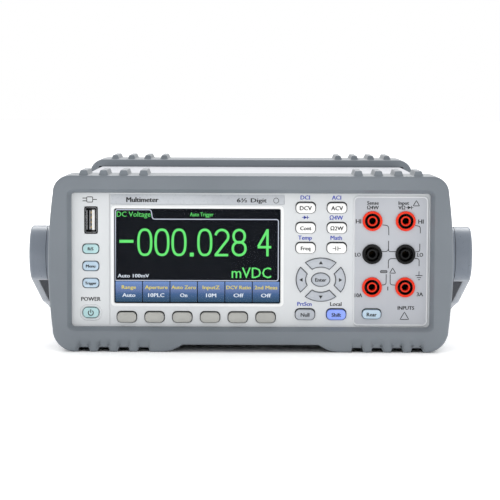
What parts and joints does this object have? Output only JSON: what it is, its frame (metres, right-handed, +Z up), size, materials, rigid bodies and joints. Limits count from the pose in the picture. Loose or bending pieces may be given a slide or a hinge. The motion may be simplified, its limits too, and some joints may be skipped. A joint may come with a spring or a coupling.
{
  "type": "bench multimeter",
  "caption": "Bench multimeter in a half-width metal case with rubber end bumpers, colour display, push keys, banana jacks and a folding bail handle.",
  "frame": {"origin": "on the floor, under the middle of the overall bounding box", "axes": "+X to the right seen from the front, +Y towards the back, +Z up; the front panel faces -Y"},
  "size_m": [0.2636, 0.3032, 0.1038],
  "materials": {
    "bumper_rubber": "matt, slightly soft moulded rubber",
    "case_paint": "satin powder coat on sheet steel",
    "rear_panel_paint": "satin powder coat on sheet steel",
    "zinc_steel": "bright zinc plate",
    "nickel_plate": "nickel plate",
    "panel_plastic": "fine-grained silver moulding",
    "terminal_plate": "fine-grained cool grey moulding",
    "display_window": "clear window over a dark display",
    "display_module": "colour liquid-crystal module, lit",
    "membrane_rubber": "silicone rubber keypad",
    "circuit_board": "glass-fibre laminate with green solder mask",
    "jack_red": "glossy red nylon",
    "jack_black": "glossy black nylon",
    "jack_brass": "gold-flashed brass",
    "standoff_brass": "turned brass",
    "handle_plastic": "matt moulded plastic with a soft coat",
    "black_plastic": "matt black moulding",
    "transformer_core": "varnished laminated core",
    "ribbon_plastic": "flat grey ribbon cable",
    "key_white": "satin keycap",
    "key_taupe": "satin keycap",
    "key_pale_cyan": "satin keycap",
    "key_pale_blue": "satin keycap",
    "key_grey": "satin keycap",
    "key_blue": "satin keycap"
  },
  "bodies": {
    "instrument": {"front_bumper": "bumper_rubber", "rear_bumper": "bumper_rubber", "case_sleeve": "case_paint", "chassis_tray": "zinc_steel", "front_panel": "panel_plastic", "terminal_plate": "terminal_plate", "display_window": "display_window", "display_module": "display_module", "key_membrane": "membrane_rubber", "keypad_board": "circuit_board", "usb_host_port": "nickel_plate", "jacks_red": "jack_red", "jacks_black": "jack_black", "jack_contacts": "jack_brass", "jack_nuts": "nickel_plate", "handle_mount_left": "handle_plastic", "handle_mount_right": "handle_plastic", "rear_panel": "rear_panel_paint", "mains_inlet": "black_plastic", "mains_inlet_pins": "nickel_plate", "fan_frame": "black_plastic", "fan_guard": "nickel_plate", "bnc_connectors": "nickel_plate", "data_ports": "nickel_plate", "option_slot_cover": "rear_panel_paint", "current_fuse_holder": "black_plastic", "rear_screws": "zinc_steel", "main_board": "circuit_board", "transformer": "transformer_core", "board_standoffs": "standoff_brass", "shield_can": "nickel_plate", "ribbon_cable": "ribbon_plastic"},
    "handle": {"handle": "handle_plastic"},
    "fuse_drawer": {"fuse_drawer": "black_plastic"},
    "fan_rotor": {"fan_rotor": "black_plastic"},
    "current_fuse_cap": {"current_fuse_cap": "black_plastic"},
    "key_run": {"key_run": "key_pale_cyan"},
    "key_menu": {"key_menu": "key_pale_blue"},
    "key_trigger": {"key_trigger": "key_pale_blue"},
    "key_power": {"key_power": "key_pale_cyan"},
    "softkey_1": {"softkey_1": "key_taupe"},
    "softkey_2": {"softkey_2": "key_taupe"},
    "softkey_3": {"softkey_3": "key_taupe"},
    "softkey_4": {"softkey_4": "key_taupe"},
    "softkey_5": {"softkey_5": "key_taupe"},
    "softkey_6": {"softkey_6": "key_taupe"},
    "key_dc_volts": {"key_dc_volts": "key_white"},
    "key_ac_volts": {"key_ac_volts": "key_white"},
    "key_continuity": {"key_continuity": "key_white"},
    "key_ohms": {"key_ohms": "key_white"},
    "key_frequency": {"key_frequency": "key_white"},
    "key_capacitance": {"key_capacitance": "key_white"},
    "key_null": {"key_null": "key_grey"},
    "key_shift": {"key_shift": "key_blue"},
    "key_rear": {"key_rear": "key_pale_blue"},
    "key_up": {"key_up": "key_grey"},
    "key_down": {"key_down": "key_grey"},
    "key_right": {"key_right": "key_grey"},
    "key_left": {"key_left": "key_grey"},
    "key_enter": {"key_enter": "key_grey"}
  },
  "joints": [
    {"name": "key_run_press", "type": "slide", "parent": "instrument", "child": "key_run", "axis": [0, 1, 0], "range_m": [0, 0.001], "stiffness_N_per_m": 800},
    {"name": "key_menu_press", "type": "slide", "parent": "instrument", "child": "key_menu", "axis": [0, 1, 0], "range_m": [0, 0.001], "stiffness_N_per_m": 800},
    {"name": "key_trigger_press", "type": "slide", "parent": "instrument", "child": "key_trigger", "axis": [0, 1, 0], "range_m": [0, 0.001], "stiffness_N_per_m": 800},
    {"name": "key_power_press", "type": "slide", "parent": "instrument", "child": "key_power", "axis": [0, 1, 0], "range_m": [0, 0.001], "stiffness_N_per_m": 800},
    {"name": "softkey_1_press", "type": "slide", "parent": "instrument", "child": "softkey_1", "axis": [0, 1, 0], "range_m": [0, 0.001], "stiffness_N_per_m": 800},
    {"name": "softkey_2_press", "type": "slide", "parent": "instrument", "child": "softkey_2", "axis": [0, 1, 0], "range_m": [0, 0.001], "stiffness_N_per_m": 800},
    {"name": "softkey_3_press", "type": "slide", "parent": "instrument", "child": "softkey_3", "axis": [0, 1, 0], "range_m": [0, 0.001], "stiffness_N_per_m": 800},
    {"name": "softkey_4_press", "type": "slide", "parent": "instrument", "child": "softkey_4", "axis": [0, 1, 0], "range_m": [0, 0.001], "stiffness_N_per_m": 800},
    {"name": "softkey_5_press", "type": "slide", "parent": "instrument", "child": "softkey_5", "axis": [0, 1, 0], "range_m": [0, 0.001], "stiffness_N_per_m": 800},
    {"name": "softkey_6_press", "type": "slide", "parent": "instrument", "child": "softkey_6", "axis": [0, 1, 0], "range_m": [0, 0.001], "stiffness_N_per_m": 800},
    {"name": "key_dc_volts_press", "type": "slide", "parent": "instrument", "child": "key_dc_volts", "axis": [0, 1, 0], "range_m": [0, 0.001], "stiffness_N_per_m": 800},
    {"name": "key_ac_volts_press", "type": "slide", "parent": "instrument", "child": "key_ac_volts", "axis": [0, 1, 0], "range_m": [0, 0.001], "stiffness_N_per_m": 800},
    {"name": "key_continuity_press", "type": "slide", "parent": "instrument", "child": "key_continuity", "axis": [0, 1, 0], "range_m": [0, 0.001], "stiffness_N_per_m": 800},
    {"name": "key_ohms_press", "type": "slide", "parent": "instrument", "child": "key_ohms", "axis": [0, 1, 0], "range_m": [0, 0.001], "stiffness_N_per_m": 800},
    {"name": "key_frequency_press", "type": "slide", "parent": "instrument", "child": "key_frequency", "axis": [0, 1, 0], "range_m": [0, 0.001], "stiffness_N_per_m": 800},
    {"name": "key_capacitance_press", "type": "slide", "parent": "instrument", "child": "key_capacitance", "axis": [0, 1, 0], "range_m": [0, 0.001], "stiffness_N_per_m": 800},
    {"name": "key_null_press", "type": "slide", "parent": "instrument", "child": "key_null", "axis": [0, 1, 0], "range_m": [0, 0.001], "stiffness_N_per_m": 800},
    {"name": "key_shift_press", "type": "slide", "parent": "instrument", "child": "key_shift", "axis": [0, 1, 0], "range_m": [0, 0.001], "stiffness_N_per_m": 800},
    {"name": "key_rear_press", "type": "slide", "parent": "instrument", "child": "key_rear", "axis": [0, 1, 0], "range_m": [0, 0.001], "stiffness_N_per_m": 800},
    {"name": "key_up_press", "type": "slide", "parent": "instrument", "child": "key_up", "axis": [0, 1, 0], "range_m": [0, 0.001], "stiffness_N_per_m": 800},
    {"name": "key_down_press", "type": "slide", "parent": "instrument", "child": "key_down", "axis": [0, 1, 0], "range_m": [0, 0.001], "stiffness_N_per_m": 800},
    {"name": "key_right_press", "type": "slide", "parent": "instrument", "child": "key_right", "axis": [0, 1, 0], "range_m": [0, 0.001], "stiffness_N_per_m": 800},
    {"name": "key_left_press", "type": "slide", "parent": "instrument", "child": "key_left", "axis": [0, 1, 0], "range_m": [0, 0.001], "stiffness_N_per_m": 800},
    {"name": "key_enter_press", "type": "slide", "parent": "instrument", "child": "key_enter", "axis": [0, 1, 0], "range_m": [0, 0.001], "stiffness_N_per_m": 800},
    {"name": "handle_pivot", "type": "hinge", "parent": "instrument", "child": "handle", "pos_m": [0, -0.0876, 0.0515], "axis": [-1, 0, 0], "range_deg": [0, 300]},
    {"name": "fan_spin", "type": "hinge", "parent": "instrument", "child": "fan_rotor", "pos_m": [-0.022, 0.1164, 0.052], "axis": [0, 1, 0], "continuous": true},
    {"name": "fuse_drawer_pull", "type": "slide", "parent": "instrument", "child": "fuse_drawer", "axis": [0, 1, 0], "range_m": [0, 0.02]},
    {"name": "current_fuse_cap_pull", "type": "slide", "parent": "instrument", "child": "current_fuse_cap", "axis": [0, 1, 0], "range_m": [0, 0.022]}
  ]
}
